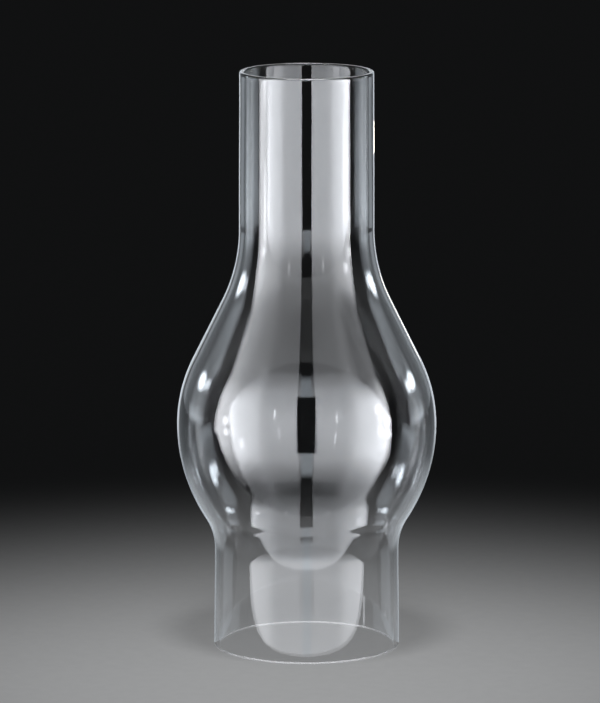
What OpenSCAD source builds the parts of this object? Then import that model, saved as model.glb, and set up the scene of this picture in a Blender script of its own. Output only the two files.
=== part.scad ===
// Blown-glass lamp chimney: one hollow body of revolution, open at both ends.
// The straight fitter stands in the burner, the bulb gives the flame room, and the long neck makes the draught.
// Frame: millimetres, +Z up, origin at the centre of the bottom rim.

/* [Overall] */
// Height from the bottom rim to the top rim
overall_h = 237.7; // [198:0.1:290]
// Thickness of the glass, measured square to its surface
wall_t = 2; // [1.5:0.1:3]

/* [Fitter] */
// Outer diameter of the straight fitter that stands in the burner
fitter_d = 76.2; // [60:0.1:94]
// Height of the straight fitter, from the bottom rim to the waist
fitter_h = 40.3; // [30:0.1:50]
// Radius of the hollow curve at the waist, between the fitter and the bulb
waist_r = 24.7; // [12:0.1:36]
// Rounding of the bottom rim's two edges; a flat ring is left between them
foot_round = 0.5; // [0.2:0.1:0.6]

/* [Bulb] */
// Outer diameter of the bulb at its widest
bulb_d = 106.2; // [88:0.1:128]
// Radius of the curve below the widest place
bulb_lower_r = 71.9; // [50:0.1:100]
// Radius of the curve above the widest place
bulb_upper_r = 60.4; // [40:0.1:90]

/* [Shoulder and neck] */
// Lean of the straight shoulder away from the vertical, in degrees
shoulder_lean = 26.5; // [22:0.1:34]
// Radius of the hollow sweep from the shoulder into the neck
neck_sweep_r = 66; // [40:0.1:90]
// Outer diameter of the straight neck
neck_d = 55.1; // [44:0.1:67]

/* [Hidden] */
curve_step = 2.5;  // degrees of arc to one chord of the profile
rim_step = 15;     // degrees of arc to one chord of a rounded rim
$fn = 180;

fitter_r = fitter_d / 2;
bulb_r = bulb_d / 2;
neck_r = neck_d / 2;

// The waist and the lower bulb curve touch where both lean at this angle.
waist_reach = waist_r + bulb_lower_r;
waist_lean = acos((waist_reach - (bulb_r - fitter_r)) / waist_reach);
bulb_z = fitter_h + waist_reach * sin(waist_lean);

// The two curves of the shoulder take their share of the step in; a straight flank takes the rest.
shoulder_reach = bulb_upper_r + neck_sweep_r;
flank = (bulb_r - neck_r - shoulder_reach * (1 - cos(shoulder_lean))) / sin(shoulder_lean);
neck_z = bulb_z + shoulder_reach * sin(shoulder_lean) + flank * cos(shoulder_lean);

// Points along an arc about [x, z], from one angle to another, counted from straight outwards.
function arc(x, z, r, from, to, step) =
    let (chords = ceil(abs(to - from) / step))
    [for (i = [0:chords]) let (a = from + (to - from) * i / chords) [x + r * cos(a), z + r * sin(a)]];

// The wall from the waist up to the neck, moved in by some depth. Depth 0 is the outer surface.
function wall_curve(depth) = concat(
    arc(fitter_r + waist_r, fitter_h, waist_r + depth, 180, 180 - waist_lean, curve_step),
    arc(bulb_r - bulb_lower_r, bulb_z, bulb_lower_r - depth, -waist_lean, 0, curve_step),
    arc(bulb_r - bulb_upper_r, bulb_z, bulb_upper_r - depth, 0, shoulder_lean, curve_step),
    arc(neck_r + neck_sweep_r, neck_z, neck_sweep_r + depth, 180 + shoulder_lean, 180, curve_step)
);

function reversed(points) = [for (i = [len(points) - 1:-1:0]) points[i]];

// Once round the section: up the outside, over the fire-polished top rim, down the inside, round the foot.
function section() = concat(
    arc(fitter_r - foot_round, foot_round, foot_round, -90, 0, rim_step),
    wall_curve(0),
    arc(neck_r - wall_t / 2, overall_h - wall_t / 2, wall_t / 2, 0, 180, rim_step),
    reversed(wall_curve(wall_t)),
    arc(fitter_r - wall_t + foot_round, foot_round, foot_round, 180, 270, rim_step)
);

module chimney() {
    color("aliceblue", 0.4)
        rotate_extrude()
            polygon(section());
}

chimney();
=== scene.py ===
"""Looks for a clear blown-glass oil-lamp chimney standing at the front of a pale studio table.

The glass is lathed from the curves of the part's source. All the rest is studio: screens for the
glass to mirror, a table in three strips, lamps, a dark room and the camera. Lengths are in metres.
Angles in the studio are in degrees from the camera's side of the glass, positive to its right, and
a reach is a distance from the glass's axis.
"""
import math

import bpy
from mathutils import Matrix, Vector


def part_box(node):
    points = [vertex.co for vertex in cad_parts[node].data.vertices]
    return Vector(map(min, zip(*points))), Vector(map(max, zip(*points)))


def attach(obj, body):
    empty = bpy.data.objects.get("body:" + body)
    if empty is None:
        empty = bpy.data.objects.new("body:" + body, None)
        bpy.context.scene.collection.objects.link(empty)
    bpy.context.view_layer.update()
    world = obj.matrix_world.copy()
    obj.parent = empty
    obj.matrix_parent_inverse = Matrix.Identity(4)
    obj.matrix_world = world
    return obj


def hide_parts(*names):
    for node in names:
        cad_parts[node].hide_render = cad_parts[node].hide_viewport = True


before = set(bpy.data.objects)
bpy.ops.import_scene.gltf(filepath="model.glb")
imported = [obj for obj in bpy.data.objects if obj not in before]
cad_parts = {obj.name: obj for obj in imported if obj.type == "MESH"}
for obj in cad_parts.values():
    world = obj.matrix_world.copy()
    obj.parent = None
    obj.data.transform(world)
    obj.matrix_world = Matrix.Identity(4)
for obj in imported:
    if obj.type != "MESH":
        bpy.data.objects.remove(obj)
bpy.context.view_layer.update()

MM = 0.001

# -------------------- the glass, as the part's source has it
glass_low, glass_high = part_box("chimney")
OVERALL_H = glass_high.z
BULB_R = (glass_high.x - glass_low.x) / 2
FITTER_R = 38.1 * MM
FITTER_H = 40.3 * MM
WALL = 2.0 * MM
FOOT_ROUND = 0.5 * MM
WAIST_R = 24.7 * MM
BULB_LOWER_R = 71.9 * MM
BULB_UPPER_R = 60.4 * MM
SHOULDER_LEAN = math.radians(26.5)
NECK_SWEEP_R = 66.0 * MM
NECK_R = 27.55 * MM

WAIST_REACH = WAIST_R + BULB_LOWER_R
WAIST_LEAN = math.acos((WAIST_REACH - (BULB_R - FITTER_R)) / WAIST_REACH)
BULB_Z = FITTER_H + WAIST_REACH * math.sin(WAIST_LEAN)
SHOULDER_REACH = BULB_UPPER_R + NECK_SWEEP_R
FLANK = (
    BULB_R - NECK_R - SHOULDER_REACH * (1 - math.cos(SHOULDER_LEAN))
) / math.sin(SHOULDER_LEAN)
NECK_Z = (
    BULB_Z + SHOULDER_REACH * math.sin(SHOULDER_LEAN) + FLANK * math.cos(SHOULDER_LEAN)
)

# -------------------- the glass, as it was drawn and cut
FITTER_DRAW = 0.39 * MM  # how far the fitter and the neck sit inside the nominal profile
NECK_DRAW = 0.25 * MM
# waves of the surface: size in mm, number round the glass, twist over its height, start, and 1
# where the inner face has a phase of its own
WAVES = [
    (0.030, 2, 5.0, 0.0, 1),
    (0.018, 3, -9.0, 1.1, 1),
    (0.010, 5, 21.0, 2.3, 0),
    (0.008, 0, 31.0, 0.7, 1),
]
INSIDE_PHASE = 1.9
FOOT_FADE = 12 * MM  # the waves die away towards the two rims
TOP_FADE = 8 * MM
SEGMENTS = 224
STEP = 1.15 * MM
FOOT_STEPS = 8
TOP_STEPS = 12
FOOT_BAND = 0.42 * MM  # heights of the frosted bands at the foot and at the top
TOP_BAND = 0.16 * MM

CORDS = (30, 30, 9)  # noise cells to the metre, for soft cords
STREAKS = (190, 190, 22)  # and for fine streaks, both drawn out along the glass
STREAK_SHARE = 0.08
CORD_DEPTH = 0.25 * MM
RIM_GRAIN_DEPTH = 0.1 * MM

# -------------------- the camera, solved from the photograph
CAMERA_AZIMUTH = math.radians(45)
CAMERA_DISTANCE = 2.1
CAMERA_HEIGHT = 0.50035
CAMERA_PITCH = math.radians(10.21)
LENS = 267.1
SENSOR = 36.0
SHIFT_X = -0.0095
CLIP = (0.05, 30)
ACROSS = Vector((math.cos(CAMERA_AZIMUTH), math.sin(CAMERA_AZIMUTH), 0))
AWAY = Vector((-math.sin(CAMERA_AZIMUTH), math.cos(CAMERA_AZIMUTH), 0))

# -------------------- the screens
COOL = (0.935, 0.955, 1.0)
BLUE = (0.84, 0.92, 1.0)
WARM = (1.0, 0.92, 0.80)
SIDES = (("left", -1), ("right", 1))
CELL_ANGLE = 0.5
CELL_HEIGHT = 0.0125

# two tall screens in front, the left one reaching further round, with a dark slit between them
SCREEN_REACH = 1.03
SCREEN_ENDS = (-88, 79)
SCREEN_HEIGHTS = (-0.62, 1.7)
SCREEN_SEEN_THROUGH = 0.1
SLIT = 9.0  # half the slit; below SLIT_FOOT the screens reach in as far as HEM_SLIT
HEM_SLIT = 5.0
SLIT_FOOT = -0.19
SLIT_SOFTNESS = 0.04
# brightness by angle, then a share of it by height
SCREEN_ACROSS = [
    (5, 2.8), (36, 2.8), (41, 3.1), (47, 3.8), (52, 4.3), (60, 4.8), (69, 5.6), (76, 6.8),
    (88, 5.6),
]
SCREEN_UP = [
    (-0.62, 0.12), (-0.50, 0.34), (-0.42, 0.48), (-0.34, 0.70), (-0.24, 1.0), (0.30, 1.0),
    (0.45, 0.8), (0.62, 0.6), (1.0, 0.45), (1.7, 0.0),
]
SIDE_RISE, SIDE_RISE_FROM, SIDE_RISE_OVER = 0.11, 35, 40  # the bright part climbs round the sides
BAND_GLOW, BAND_ANGLE, BAND_WIDTH = 1.8, -83, 4  # one brighter upright band at the far left
CROWN_LEFT, CROWN_RIGHT = 0.2, 0.7  # how much each screen dims at the top of its outer part:
CROWN_FROM, CROWN_OVER = (40, 0.38), (25, 0.4)  # from where and over what, as (degrees, metres)

# a reflector low in the slit
REFLECTOR_HEIGHTS = (-0.55, -0.15)
REFLECTOR_UP = [(-0.55, 0.0), (-0.42, 2.6), (-0.18, 2.6), (-0.15, 0.0)]

# two screens behind and to the sides, for the glints
REAR_REACH = 0.9
REAR_ANGLES = (105, 127)
REAR_HEIGHTS = (-0.35, 0.70)
REAR_UP = [
    (-0.35, 0.2), (-0.20, 0.9), (-0.08, 0.7), (0.02, 0.9), (0.045, 2.0), (0.07, 1.6),
    (0.12, 0.9), (0.24, 0.6), (0.36, 0.5), (0.46, 1.4), (0.58, 1.0), (0.70, 0.0),
]

# two fill screens behind, for the soft grey near the outline
FILL_REACH = 1.1
FILL_ANGLES = (127, 157)
FILL_HEIGHTS = (-1.0, 0.8)
FILL_UP = [
    (-1.0, 0.4), (-0.50, 0.9), (-0.32, 0.9), (-0.22, 0.35), (0.08, 0.25), (0.16, 0.3),
    (0.60, 0.25), (0.8, 0.0),
]

# two edge screens further behind, for the bright outline, and a warm strip before the right one
EDGE_REACH = 1.2
EDGE_ANGLES = (157, 178)
EDGE_HEIGHTS = (-0.9, 1.2)
EDGE_UP = [
    (-0.9, 0.3), (-0.5, 1.1), (-0.36, 1.1), (-0.28, 0.6), (-0.20, 0.6), (-0.12, 1.2),
    (0.5, 1.3), (1.2, 0.4),
]
WARM_REACH = 1.19
WARM_ANGLES = (163, 177)
WARM_HEIGHTS = (0.038, 0.058)
WARM_GLOW = 7.0

# lamps behind the screens show through as soft spots: angle, height, strength, and the spread in
# degrees and in metres
SCREEN_SPOTS = [
    (-76, 0.15, 10.0, 3.2, 0.05), (-75, 0.03, 9.0, 2.5, 0.04), (76.5, 0.155, 10.0, 3.0, 0.045),
    (68, 0.31, 11.0, 3.0, 0.05), (78, 0.0, 11.0, 2.5, 0.045),
    (-29, 0.36, 6.0, 0.8, 0.08), (27, 0.31, 6.0, 0.8, 0.08),
]
REAR_SPOTS = [
    (-120, 0.28, 14.0, 5.2, 0.055), (-110, 0.32, 10.0, 2.0, 0.05),
    (120, 0.28, 14.0, 5.2, 0.055), (112, 0.29, 10.0, 2.5, 0.05),
]

OVERHEAD_GLOW, OVERHEAD_REACH, OVERHEAD_Z, OVERHEAD_SIDES = 12.0, 0.55, 1.7, 48

# -------------------- the side gauzes
GAUZE_TONE = 0.16
GAUZE_GAP = 2 * MM
GAUZE_REACH = 0.98
GAUZE_TOP = 0.6
NEAR_WALL_DEPTH = 3.0  # what has come through fewer faces than this was mirrored by the near wall

# -------------------- the table, the lamps and the room
TABLE_DEPTH, TABLE_SIDE = 6.0, 2.5
TABLE_STEPS = 24
FRONT_EDGE, ROLL_R, ROLL_DROP, ROLL_STEPS = 0.045, 0.060, 0.5, 12
PAPER_TONES = ((0.78, 0.79, 0.80, 1), (0.84, 0.85, 0.86, 1))

POOL_PLACE = (0, 0.30, 1.1)  # studio angle, reach, height
POOL_AIM = (0, 0.09, 0.0)
POOL_CONE, POOL_BLEND, POOL_SOFTNESS = 32, 1.0, 0.12
POOL_LAMPS = (("pool_open", 15.0, False), ("pool_shadow", 6.0, True))  # name, watts, casts a shadow

RIM_LAMP_REACH, RIM_LAMP_Z, RIM_AIM_Z = 2.0, 0.45, 0.12
RIM_LAMP_POWER, RIM_CONE, RIM_BLEND, RIM_SOFTNESS = 120.0, 20, 0.15, 0.1

ROOM = (0.0068, 0.0070, 0.0072, 1)
ROOM_TO_THE_EYE = 0.72


# -------------------- the wall section
def arc(x, z, r, start, end):
    """Points on an arc, as (radius from the axis, height)."""
    chords = max(2, math.ceil(abs(end - start) * abs(r) / STEP))
    return rounded(x, z, r, start, end, chords)


def rounded(x, z, r, start, end, chords):
    """Points on an arc with a given number of chords."""
    points = []
    for i in range(chords + 1):
        a = start + (end - start) * i / chords
        points.append((x + r * math.cos(a), z + r * math.sin(a)))
    return points


def line(a, b):
    """Points strictly between a and b."""
    n = max(2, math.ceil(math.dist(a, b) / STEP))
    return [
        (a[0] + (b[0] - a[0]) * i / n, a[1] + (b[1] - a[1]) * i / n)
        for i in range(1, n)
    ]


def wall_curve(depth):
    """One face of the wall, from the top of the fitter to the foot of the neck."""
    pi = math.pi
    waist = arc(FITTER_R + WAIST_R, FITTER_H, WAIST_R + depth, pi, pi - WAIST_LEAN)
    lower = arc(BULB_R - BULB_LOWER_R, BULB_Z, BULB_LOWER_R - depth, -WAIST_LEAN, 0)
    upper = arc(BULB_R - BULB_UPPER_R, BULB_Z, BULB_UPPER_R - depth, 0, SHOULDER_LEAN)
    sweep = arc(NECK_R + NECK_SWEEP_R, NECK_Z, NECK_SWEEP_R + depth, pi + SHOULDER_LEAN, pi)
    return waist + lower[1:] + upper[1:] + line(upper[-1], sweep[0]) + sweep


def section():
    """The closed wall section, from the bottom rim up the outside and down the inside."""
    pi = math.pi
    outer, inner = wall_curve(0), wall_curve(WALL)[::-1]
    foot_out = rounded(FITTER_R - FOOT_ROUND, FOOT_ROUND, FOOT_ROUND, -pi / 2, 0, FOOT_STEPS)
    top = rounded(NECK_R - WALL / 2, OVERALL_H - WALL / 2, WALL / 2, 0, pi, TOP_STEPS)
    foot_in = rounded(
        FITTER_R - WALL + FOOT_ROUND, FOOT_ROUND, FOOT_ROUND, pi, 1.5 * pi, FOOT_STEPS
    )
    return (
        foot_out
        + line(foot_out[-1], outer[0])
        + outer
        + line(outer[-1], top[0])
        + top
        + line(top[-1], inner[0])
        + inner
        + line(inner[-1], foot_in[0])
        + foot_in
    )


def ease(t):
    """0 to 1 with level ends."""
    t = min(1.0, max(0.0, t))
    return (1 - math.cos(math.pi * t)) / 2


def draw_in(z):
    """How far the drawn glass sits inside the nominal profile at height z."""
    if z < FITTER_H:
        low = ease(z / FITTER_H)
    else:
        low = 1 - ease((z - FITTER_H) / (BULB_Z - FITTER_H))
    high = ease((z - NECK_Z) / (OVERALL_H - NECK_Z))
    return FITTER_DRAW * low + NECK_DRAW * high


def ripple(angle, z, inside):
    """The slow wander of a hand-turned surface."""
    lift = z / OVERALL_H
    phase = INSIDE_PHASE if inside else 0.0
    wander = sum(
        size * math.sin(waves * angle + twist * lift + start + phase * differs)
        for size, waves, twist, start, differs in WAVES
    )
    fade = ease(z / FOOT_FADE) * ease((OVERALL_H - z) / TOP_FADE)
    return wander * MM * fade


# -------------------- meshes and materials
def add_object(name, data):
    made = bpy.data.objects.new(name, data)
    bpy.context.scene.collection.objects.link(made)
    return made


def new_mesh(name, verts, faces):
    mesh = bpy.data.meshes.new(name)
    mesh.from_pydata([tuple(v) for v in verts], [], faces)
    return mesh


def ladder(count):
    """Faces between the rungs of a strip whose points run in pairs."""
    return [(2 * i, 2 * i + 1, 2 * i + 3, 2 * i + 2) for i in range(count - 1)]


def lathe(name, profile, segments):
    """A closed shell of revolution about the z axis."""
    count = len(profile)
    verts, faces = [], []
    half = count // 2
    for s in range(segments):
        a = 2 * math.pi * s / segments
        for i, (r, z) in enumerate(profile):
            reach = r - draw_in(z) + ripple(a, z, i > half)
            verts.append((reach * math.cos(a), reach * math.sin(a), z))
    for s in range(segments):
        t = (s + 1) % segments
        for i in range(count):
            j = (i + 1) % count
            faces.append((s * count + i, t * count + i, t * count + j, s * count + j))
    mesh = new_mesh(name, verts, faces)
    mesh.validate()
    mesh.shade_smooth()
    return add_object(name, mesh)


def new_material(name):
    material = bpy.data.materials.new(name)
    material.use_nodes = True
    material.node_tree.nodes.clear()
    return material


def node(owner, kind, **inputs):
    """Adds a node and sets its inputs by name."""
    made = owner.node_tree.nodes.new(kind)
    for key, value in inputs.items():
        made.inputs[key.replace("_", " ")].default_value = value
    return made


def link(owner, a, out, b, into):
    owner.node_tree.links.new(a.outputs[out], b.inputs[into])


def math_node(owner, operation):
    made = node(owner, "ShaderNodeMath")
    made.operation = operation
    return made


def tone_node(owner, first, second):
    """Mixes two colours; its factor is input 0 and its colour is output 2."""
    made = node(owner, "ShaderNodeMix")
    made.data_type = "RGBA"
    made.inputs[6].default_value = first
    made.inputs[7].default_value = second
    return made


def glass_material():
    """Clear soda-lime glass with blown cord lines and a little handling haze."""
    m = new_material("clear_glass")
    out = node(m, "ShaderNodeOutputMaterial")
    shader = node(
        m,
        "ShaderNodeBsdfPrincipled",
        Base_Color=(0.980, 0.986, 0.993, 1),
        IOR=1.5,
        Transmission_Weight=1.0,
    )
    link(m, shader, "BSDF", out, "Surface")

    place = node(m, "ShaderNodeTexCoord")
    stretch = node(m, "ShaderNodeMapping", Scale=CORDS)
    link(m, place, "Object", stretch, "Vector")
    cords = node(m, "ShaderNodeTexNoise", Scale=1.0, Detail=2.0, Roughness=0.4)
    link(m, stretch, "Vector", cords, "Vector")
    drawn = node(m, "ShaderNodeMapping", Scale=STREAKS)
    link(m, place, "Object", drawn, "Vector")
    streaks = node(m, "ShaderNodeTexNoise", Scale=1.0, Detail=3.0, Roughness=0.55)
    link(m, drawn, "Vector", streaks, "Vector")
    surface = math_node(m, "MULTIPLY_ADD")
    surface.inputs[1].default_value = STREAK_SHARE
    link(m, streaks, "Fac", surface, 0)
    link(m, cords, "Fac", surface, 2)
    bump = node(m, "ShaderNodeBump", Strength=0.35, Distance=CORD_DEPTH)
    link(m, surface, "Value", bump, "Height")
    link(m, bump, "Normal", shader, "Normal")

    haze = node(m, "ShaderNodeTexNoise", Scale=55.0, Detail=3.0, Roughness=0.6)
    link(m, place, "Object", haze, "Vector")
    spread = node(
        m, "ShaderNodeMapRange", From_Min=0.35, From_Max=0.75, To_Min=0.004, To_Max=0.03
    )
    link(m, haze, "Fac", spread, "Value")
    link(m, spread, "Result", shader, "Roughness")
    return m


def rim_material():
    """The cut and fire-polished rims, left a little frosted."""
    m = new_material("clear_glass_rim")
    out = node(m, "ShaderNodeOutputMaterial")
    shader = node(
        m,
        "ShaderNodeBsdfPrincipled",
        Base_Color=(0.95, 0.96, 0.98, 1),
        IOR=1.5,
        Roughness=0.22,
        Transmission_Weight=0.5,
    )
    link(m, shader, "BSDF", out, "Surface")
    place = node(m, "ShaderNodeTexCoord")
    grain = node(m, "ShaderNodeTexNoise", Scale=900.0, Detail=2.0)
    link(m, place, "Object", grain, "Vector")
    bump = node(m, "ShaderNodeBump", Strength=0.3, Distance=RIM_GRAIN_DEPTH)
    link(m, grain, "Fac", bump, "Height")
    link(m, bump, "Normal", shader, "Normal")
    return m


# -------------------- the studio's screens
def studio_point(angle, reach, z):
    """A point in the studio, from its angle, reach and height."""
    a = CAMERA_AZIMUTH + math.radians(angle)
    return Vector((reach * math.sin(a), -reach * math.cos(a), z))


def between(stops, x):
    """Straight-line reading of a short list of (x, value) stops."""
    if x <= stops[0][0]:
        return stops[0][1]
    for (x0, v0), (x1, v1) in zip(stops, stops[1:]):
        if x <= x1:
            return v0 + (v1 - v0) * (x - x0) / (x1 - x0)
    return stops[-1][1]


def mirrored(material, low):
    """1 for what the glass has mirrored at least once, low for what is only seen through it."""
    path = node(material, "ShaderNodeLightPath")
    pick = node(material, "ShaderNodeMapRange", From_Min=0.0, From_Max=1.0, To_Min=low, To_Max=1.0)
    link(material, path, "Glossy Depth", pick, "Value")
    return pick


def glow_material(name, colour, seen_through):
    """Emission read from the mesh's glow attribute, dimmed where the glass doesn't mirror it."""
    m = new_material(name)
    out = node(m, "ShaderNodeOutputMaterial")
    light = node(m, "ShaderNodeEmission", Color=(*colour, 1))
    glow = node(m, "ShaderNodeAttribute")
    glow.attribute_name = "glow"
    dim = math_node(m, "MULTIPLY")
    link(m, glow, "Fac", dim, 0)
    link(m, mirrored(m, seen_through), "Result", dim, 1)
    link(m, dim, "Value", light, "Strength")
    link(m, light, "Emission", out, "Surface")
    m.cycles.emission_sampling = "NONE"
    return m


def stage_for_glass(thing):
    """Hides a screen or a gauze from the camera, diffuse light and shadows, so that only the glass
    shows it.
    """
    thing.visible_camera = False
    thing.visible_diffuse = False
    thing.visible_shadow = False


def add_screen(name, verts, faces, glows, colour, seen_through):
    mesh = new_mesh(name, verts, faces)
    mesh.attributes.new("glow", "FLOAT", "POINT").data.foreach_set("value", glows)
    screen = add_object(name, mesh)
    mesh.materials.append(glow_material(name, colour, seen_through))
    stage_for_glass(screen)
    return screen


def light_screen(name, angles, heights, reach, glow, colour, seen_through=1.0):
    """An upright curved diffusing screen about the glass."""
    columns = max(2, math.ceil(abs(angles[1] - angles[0]) / CELL_ANGLE))
    rows = max(2, math.ceil((heights[1] - heights[0]) / CELL_HEIGHT))
    verts, faces, glows = [], [], []
    for i in range(columns + 1):
        a = angles[0] + (angles[1] - angles[0]) * i / columns
        for j in range(rows + 1):
            z = heights[0] + (heights[1] - heights[0]) * j / rows
            verts.append(studio_point(a, reach, z))
            glows.append(glow(a, z))
    for i in range(columns):
        for j in range(rows):
            k = i * (rows + 1) + j
            faces.append((k, k + rows + 1, k + rows + 2, k + 1))
    return add_screen(name, verts, faces, glows, colour, seen_through)


def spots_glow(spots, angle, z):
    """Flat-topped round spots."""
    return sum(
        strength * math.exp(-((((angle - a) / wide) ** 2 + ((z - h) / tall) ** 2) ** 2))
        for a, h, strength, wide, tall in spots
    )


def screen_glow(angle, z):
    """Brightness of the two front screens: stronger round the sides, less upward and at the hem."""
    rise = SIDE_RISE * ease((abs(angle) - SIDE_RISE_FROM) / SIDE_RISE_OVER)
    glow = between(SCREEN_ACROSS, abs(angle)) * between(SCREEN_UP, z - rise)
    band = math.exp(-(((angle - BAND_ANGLE) / BAND_WIDTH) ** 2))
    glow += BAND_GLOW * band * between(SCREEN_UP, z)
    crown = CROWN_LEFT if angle < 0 else CROWN_RIGHT
    outward = ease((abs(angle) - CROWN_FROM[0]) / CROWN_OVER[0])
    glow *= 1 - crown * outward * ease((z - CROWN_FROM[1]) / CROWN_OVER[1])
    if abs(angle) < SLIT:
        glow *= 1 - ease((z - SLIT_FOOT) / SLIT_SOFTNESS)
    return glow + spots_glow(SCREEN_SPOTS, angle, z)


def rear_glow(angle, z):
    return between(REAR_UP, z) + spots_glow(REAR_SPOTS, angle, z)


def front_screens():
    left, right = SCREEN_ENDS
    for name, angles in (("left", (left, -HEM_SLIT)), ("right", (HEM_SLIT, right))):
        light_screen(
            "screen_" + name, angles, SCREEN_HEIGHTS, SCREEN_REACH, screen_glow, COOL,
            seen_through=SCREEN_SEEN_THROUGH,
        )
    light_screen(
        "reflector_front", (-HEM_SLIT, HEM_SLIT), REFLECTOR_HEIGHTS, SCREEN_REACH,
        lambda angle, z: between(REFLECTOR_UP, z), BLUE, seen_through=0.0,
    )


def rear_screens():
    for name, side in SIDES:
        light_screen(
            "lamp_rear_" + name, [side * a for a in REAR_ANGLES], REAR_HEIGHTS, REAR_REACH,
            rear_glow, BLUE,
        )
        light_screen(
            "edge_" + name, [side * a for a in EDGE_ANGLES], EDGE_HEIGHTS, EDGE_REACH,
            lambda angle, z: between(EDGE_UP, z), BLUE,
        ).visible_transmission = False
        light_screen(
            "fill_" + name, [side * a for a in FILL_ANGLES], FILL_HEIGHTS, FILL_REACH,
            lambda angle, z: between(FILL_UP, z), BLUE, seen_through=0.0,
        )
    light_screen(
        "edge_warm", WARM_ANGLES, WARM_HEIGHTS, WARM_REACH, lambda angle, z: WARM_GLOW, WARM
    ).visible_transmission = False


def overhead_screen():
    """A round screen above, which only the rims mirror."""
    count = OVERHEAD_SIDES
    ring = [studio_point(360 * i / count, OVERHEAD_REACH, OVERHEAD_Z) for i in range(count)]
    add_screen(
        "screen_overhead", ring, [tuple(range(count))], [OVERHEAD_GLOW] * count, COOL, 1.0
    )


def gauze_material():
    """Clear from its front; grey from its back, and that only to what the near wall mirrors."""
    m = new_material("side_gauze")
    out = node(m, "ShaderNodeOutputMaterial")
    clear = node(m, "ShaderNodeBsdfTransparent")
    side = node(m, "ShaderNodeNewGeometry")
    tone = tone_node(m, (1, 1, 1, 1), (GAUZE_TONE, GAUZE_TONE, GAUZE_TONE, 1))
    path = node(m, "ShaderNodeLightPath")
    near_wall = math_node(m, "LESS_THAN")
    near_wall.inputs[1].default_value = NEAR_WALL_DEPTH
    link(m, path, "Transmission Depth", near_wall, 0)
    both = math_node(m, "MULTIPLY")
    link(m, side, "Backfacing", both, 0)
    link(m, near_wall, "Value", both, 1)
    link(m, both, "Value", tone, 0)
    link(m, tone, 2, clear, "Color")
    link(m, clear, "BSDF", out, "Surface")
    return m


def side_gauzes():
    """One-way gauzes beside the glass, which tone down what its sides mirror towards the back."""
    m = gauze_material()
    outline = [(FITTER_R, MM)] + wall_curve(0)
    outline += [(NECK_R, OVERALL_H), (0.0, OVERALL_H + GAUZE_GAP), (0.0, GAUZE_TOP)]
    for name, sign in SIDES:
        verts = []
        for r, z in outline:
            for reach in (r + GAUZE_GAP, GAUZE_REACH):
                p = ACROSS * sign * reach
                verts.append((p.x, p.y, z))
        faces = [face[::sign] for face in ladder(len(outline))]
        mesh = new_mesh("side_gauze_" + name, verts, faces)
        mesh.materials.append(m)
        stage_for_glass(add_object("side_gauze_" + name, mesh))


def paper_material(name, hidden_from_mirrors):
    """Pale paper; hidden_from_mirrors makes it clear to light that the glass has mirrored."""
    m = new_material(name)
    out = node(m, "ShaderNodeOutputMaterial")
    paper = node(m, "ShaderNodeBsdfDiffuse", Roughness=0.5)
    grain = node(m, "ShaderNodeTexNoise", Scale=180.0, Detail=4.0)
    place = node(m, "ShaderNodeTexCoord")
    link(m, place, "Object", grain, "Vector")
    tone = tone_node(m, *PAPER_TONES)
    link(m, grain, "Fac", tone, 0)
    link(m, tone, 2, paper, "Color")
    if hidden_from_mirrors:
        clear = node(m, "ShaderNodeBsdfTransparent")
        mix = node(m, "ShaderNodeMixShader")
        link(m, mirrored(m, 0.0), "Result", mix, 0)
        link(m, paper, "BSDF", mix, 1)
        link(m, clear, "BSDF", mix, 2)
        link(m, mix, "Shader", out, "Surface")
    else:
        link(m, paper, "BSDF", out, "Surface")
    return m


def table_strip(name, profile, material):
    """A sheet swept across the view from points given as (depth behind the glass, height)."""
    verts = []
    for depth, z in profile:
        for side in (-TABLE_SIDE, TABLE_SIDE):
            p = AWAY * depth + ACROSS * side
            verts.append((p.x, p.y, z))
    mesh = new_mesh(name, verts, ladder(len(profile)))
    mesh.shade_smooth()
    mesh.materials.append(material)
    strip = add_object(name, mesh)
    return strip


def table():
    """A pale table in three strips.

    The glass mirrors only the one that it stands on, which rolls down just in front of it.
    """
    steps = [i / TABLE_STEPS for i in range(TABLE_STEPS + 1)]
    rear = [(TABLE_DEPTH * (1 - t) ** 2, 0.0) for t in steps]
    front = [rear[-1], (-FRONT_EDGE, 0.0)]
    for i in range(1, ROLL_STEPS + 1):
        a = math.pi / 2 * i / ROLL_STEPS
        front.append((-FRONT_EDGE - ROLL_R * math.sin(a), -ROLL_R * (1 - math.cos(a))))
    front.append((-FRONT_EDGE - ROLL_R, -ROLL_DROP))
    near = [(-FRONT_EDGE - TABLE_DEPTH * t ** 2, 0.0) for t in steps]

    paper = paper_material("pale_paper", False)
    table_strip("table_front", front, paper)
    table_strip("table_rear", rear, paper).visible_glossy = False
    leaf = table_strip("table_near", near, paper_material("pale_paper_near", True))
    leaf.visible_glossy = False
    leaf.visible_shadow = False


def turn_to(thing, direction):
    """Turns a lamp or a camera to look along a direction."""
    thing.rotation_mode = "QUATERNION"
    thing.rotation_quaternion = direction.to_track_quat("-Z", "Y")


def spot_lamp(name, place, target, power, cone, blend, softness, shadow):
    """A spot lamp that the glass neither mirrors nor shows."""
    lamp = bpy.data.lights.new(name, "SPOT")
    lamp.energy = power
    lamp.spot_size = math.radians(cone)
    lamp.spot_blend = blend
    lamp.shadow_soft_size = softness
    lamp.use_shadow = shadow
    spot = add_object(name, lamp)
    spot.location = place
    turn_to(spot, target - spot.location)
    spot.visible_glossy = False
    spot.visible_transmission = False
    return spot


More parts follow.
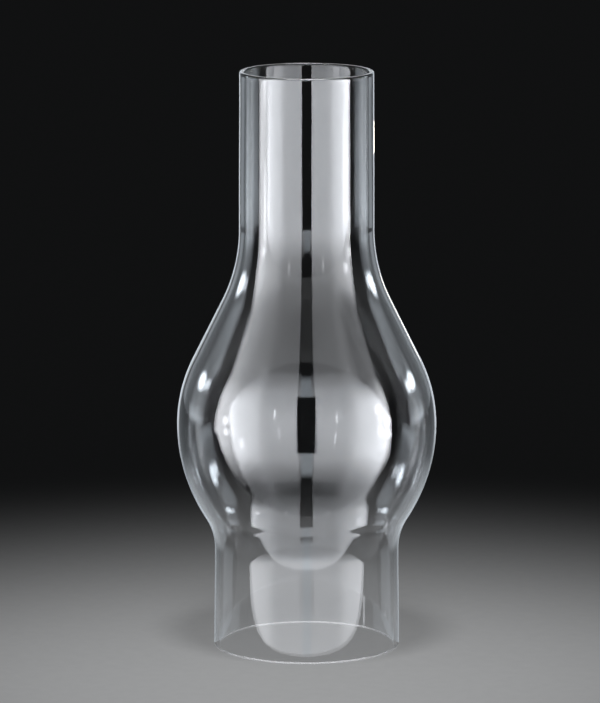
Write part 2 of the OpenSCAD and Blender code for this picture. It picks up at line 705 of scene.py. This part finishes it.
def lamps(piece):
    """A soft pool of light on the table, and two low lamps that light only the glass."""
    for name, power, shadow in POOL_LAMPS:
        spot_lamp(
            name, studio_point(*POOL_PLACE), studio_point(*POOL_AIM),
            power, POOL_CONE, POOL_BLEND, POOL_SOFTNESS, shadow,
        )
    rims_only = bpy.data.collections.new("lit_by_rim_lamps")
    rims_only.objects.link(piece)
    for angle in (0, 180):
        spot = spot_lamp(
            "rim_lamp_%d" % angle, studio_point(angle, RIM_LAMP_REACH, RIM_LAMP_Z),
            Vector((0, 0, RIM_AIM_Z)), RIM_LAMP_POWER, RIM_CONE, RIM_BLEND, RIM_SOFTNESS, False,
        )
        spot.light_linking.receiver_collection = rims_only


def dark_room():
    """A near-black world, as dark to the eye as the far end of the table."""
    world = bpy.data.worlds.new("dark_room")
    world.use_nodes = True
    room = world.node_tree.nodes["Background"]
    room.inputs["Color"].default_value = ROOM
    path = node(world, "ShaderNodeLightPath")
    seen = node(world, "ShaderNodeMapRange", To_Min=1.0, To_Max=ROOM_TO_THE_EYE)
    link(world, path, "Is Camera Ray", seen, "Value")
    link(world, seen, "Result", room, "Strength")
    bpy.context.scene.world = world


def camera():
    data = bpy.data.cameras.new("camera")
    data.lens = LENS
    data.sensor_width = SENSOR
    data.shift_x = SHIFT_X
    data.clip_start, data.clip_end = CLIP
    eye = add_object("camera", data)
    eye.location = studio_point(0, CAMERA_DISTANCE, CAMERA_HEIGHT)
    level = -studio_point(0, 1, 0)
    turn_to(eye, level * math.cos(CAMERA_PITCH) - Vector((0, 0, math.sin(CAMERA_PITCH))))
    bpy.context.scene.camera = eye


glass = lathe("glass_chimney", section(), SEGMENTS)
glass.data.materials.append(glass_material())
glass.data.materials.append(rim_material())
for face in glass.data.polygons:
    if face.center.z > OVERALL_H - TOP_BAND or face.center.z < FOOT_BAND:
        face.material_index = 1
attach(glass, "root")
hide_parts("chimney")

front_screens()
rear_screens()
overhead_screen()
side_gauzes()
table()
lamps(glass)
dark_room()
camera()
bpy.context.scene.view_settings.view_transform = "Standard"
bpy.context.scene.cycles.caustics_refractive = False
bpy.context.scene.cycles.caustics_reflective = False
